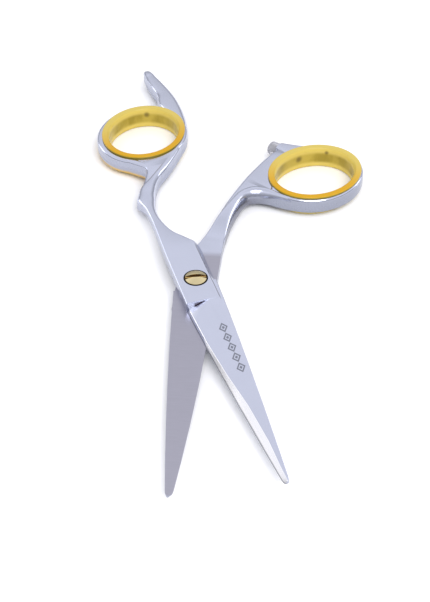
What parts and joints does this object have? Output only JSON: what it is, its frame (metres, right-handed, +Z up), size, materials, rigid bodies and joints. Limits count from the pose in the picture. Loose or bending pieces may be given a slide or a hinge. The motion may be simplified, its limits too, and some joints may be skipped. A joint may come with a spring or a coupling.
{
  "type": "hair cutting shears",
  "caption": "Hair cutting shears with crossed steel blades on a slotted tension screw, an offset thumb ring, a curved finger rest, soft amber ring inserts and a clear bumper.",
  "frame": {"origin": "on the pivot axis, in the resting plane under the thumb half", "axes": "+Y from the pivot towards the rings, blades along -Y; +Z up, towards the screw head; rest is half open, as lying on a table"},
  "size_m": [0.0791, 0.174, 0.0072],
  "materials": {
    "polished_steel": "mirror-polished stainless steel handles, finely ground blade faces",
    "amber_insert": "glossy translucent golden-yellow soft plastic",
    "gold_screw": "polished pale gold plating",
    "brass_bush": "turned brass",
    "spring_steel": "bright spring steel",
    "clear_bumper": "cloudy clear silicone rubber",
    "stud_steel": "turned steel"
  },
  "bodies": {
    "thumb_side": {"thumb_half": "polished_steel", "thumb_ring_insert": "amber_insert", "bumper": "clear_bumper", "bumper_stud": "stud_steel"},
    "finger_side": {"finger_half": "polished_steel", "finger_ring_insert": "amber_insert", "pivot_bush": "brass_bush", "spring_washer": "spring_steel"},
    "tension_screw": {"pivot_screw": "gold_screw"}
  },
  "joints": [
    {"name": "pivot", "type": "hinge", "parent": "thumb_side", "child": "finger_side", "pos_m": [0, 0, 0], "axis": [0, 0, 1], "range_deg": [-21.2, 68.7]},
    {"name": "tension_screw_turn", "type": "hinge", "parent": "thumb_side", "child": "tension_screw", "pos_m": [0, 0, 0], "axis": [0, 0, 1], "range_deg": [-90, 90]}
  ]
}
